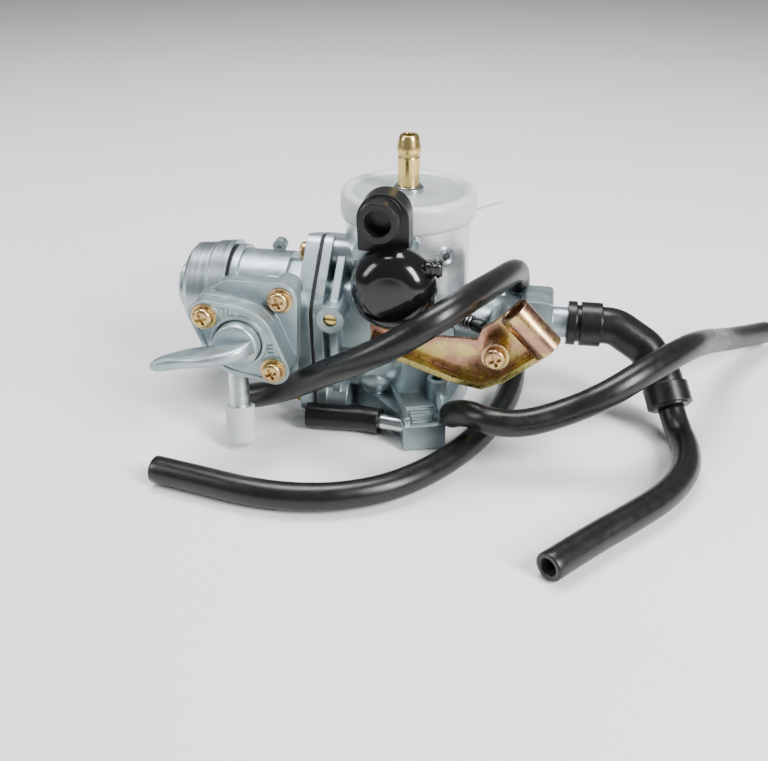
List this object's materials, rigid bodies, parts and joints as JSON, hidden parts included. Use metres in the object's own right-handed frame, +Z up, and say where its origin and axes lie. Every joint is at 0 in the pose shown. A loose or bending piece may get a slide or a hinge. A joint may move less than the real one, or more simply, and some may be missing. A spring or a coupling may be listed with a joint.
{
  "type": "carburetor",
  "caption": "Slide carburetor with side float bowl, fuel tap, cable cap, cable bracket and rubber hoses, for a small engine.",
  "frame": {"origin": "on the slide barrel's axis, in the face of the engine flange", "axes": "+Z up the barrel to the cable guide, -Y towards the fuel tap's lever, -X towards the float bowl"},
  "size_m": [0.1843, 0.1344, 0.077],
  "materials": {
    "die_cast": "satin die cast",
    "nylon": "translucent white nylon",
    "black_plastic": "moulded black",
    "black_rubber": "satin",
    "brass": "turned",
    "zinc_yellow": "yellow passivated zinc",
    "steel": "bright",
    "gasket_black": "matte",
    "float_plastic": "moulded"
  },
  "bodies": {
    "carburetor": {"barrel_cap": "nylon", "barrel_plug": "steel", "bowl_gasket": "gasket_black", "bowl_screws": "zinc_yellow", "bracket_collar": "zinc_yellow", "bracket_screw": "zinc_yellow", "cable_bracket": "zinc_yellow", "cable_guide": "brass", "cap_ring": "steel", "cap_tie": "nylon", "carb_body": "die_cast", "choke_elbow": "black_plastic", "choke_spring": "steel", "drain_hose_stub": "black_rubber", "float_bowl": "die_cast", "float_pin": "steel", "front_port_cap": "black_rubber", "fuel_nipple": "steel", "hose_elbow": "black_rubber", "hose_lower": "black_rubber", "hose_nipples": "steel", "hose_side": "black_rubber", "hose_upper": "black_rubber", "idle_screw_spring": "steel", "main_jet": "brass", "needle_jet": "brass", "needle_seat": "brass", "nipple_dust_cap": "nylon", "pilot_jet": "brass", "slide_spring": "steel", "strainer_cup": "die_cast", "strainer_screen": "brass", "strainer_seal": "gasket_black", "tap_cover": "die_cast", "tap_screws": "zinc_yellow", "tap_seal": "gasket_black", "vent_elbow": "black_rubber", "vent_head": "die_cast"},
    "slide": {"throttle_slide": "steel", "jet_needle": "brass", "needle_clip": "steel"},
    "tap": {"tap_lever": "die_cast"},
    "float": {"float": "float_plastic"},
    "inlet_needle": {"float_needle": "brass"},
    "choke": {"choke_plunger": "brass"},
    "idle": {"idle_screw": "steel"},
    "mixture": {"mixture_screw": "brass"}
  },
  "joints": [
    {"name": "throttle_slide", "type": "slide", "parent": "carburetor", "child": "slide", "axis": [0, 0, 1], "range_m": [0, 0.016], "stiffness_N_per_m": 120, "springref_m": -0.03, "deforming": ["slide_spring"]},
    {"name": "fuel_tap", "type": "hinge", "parent": "carburetor", "child": "tap", "pos_m": [-0.0379, -0.035, 0.032], "axis": [0, -1, 0], "range_deg": [-75, 75]},
    {"name": "float_hinge", "type": "hinge", "parent": "carburetor", "child": "float", "pos_m": [-0.0175, -0.0055, 0.032], "axis": [0, 1, 0], "range_deg": [0, 4.5]},
    {"name": "inlet_needle_slide", "type": "slide", "parent": "carburetor", "child": "inlet_needle", "axis": [-1, 0, 0], "range_m": [0, 0.00032]},
    {"name": "choke_slide", "type": "slide", "parent": "carburetor", "child": "choke", "axis": [0, 0, 1], "range_m": [0, 0.005], "stiffness_N_per_m": 80, "springref_m": -0.01, "deforming": ["choke_spring"]},
    {"name": "idle_screw_turn", "type": "hinge", "parent": "carburetor", "child": "idle", "pos_m": [0.0168, -0.01085, 0.029], "axis": [0.84, -0.5426, 0], "range_deg": [-180, 180]},
    {"name": "mixture_screw_turn", "type": "hinge", "parent": "carburetor", "child": "mixture", "pos_m": [-0.017, -0.022, 0.033], "axis": [0, -1, 0], "range_deg": [-180, 180]}
  ],
  "couplings": [
    {"joint": "inlet_needle_slide", "follows": "float_hinge", "m_per_rad": 0.004}
  ]
}
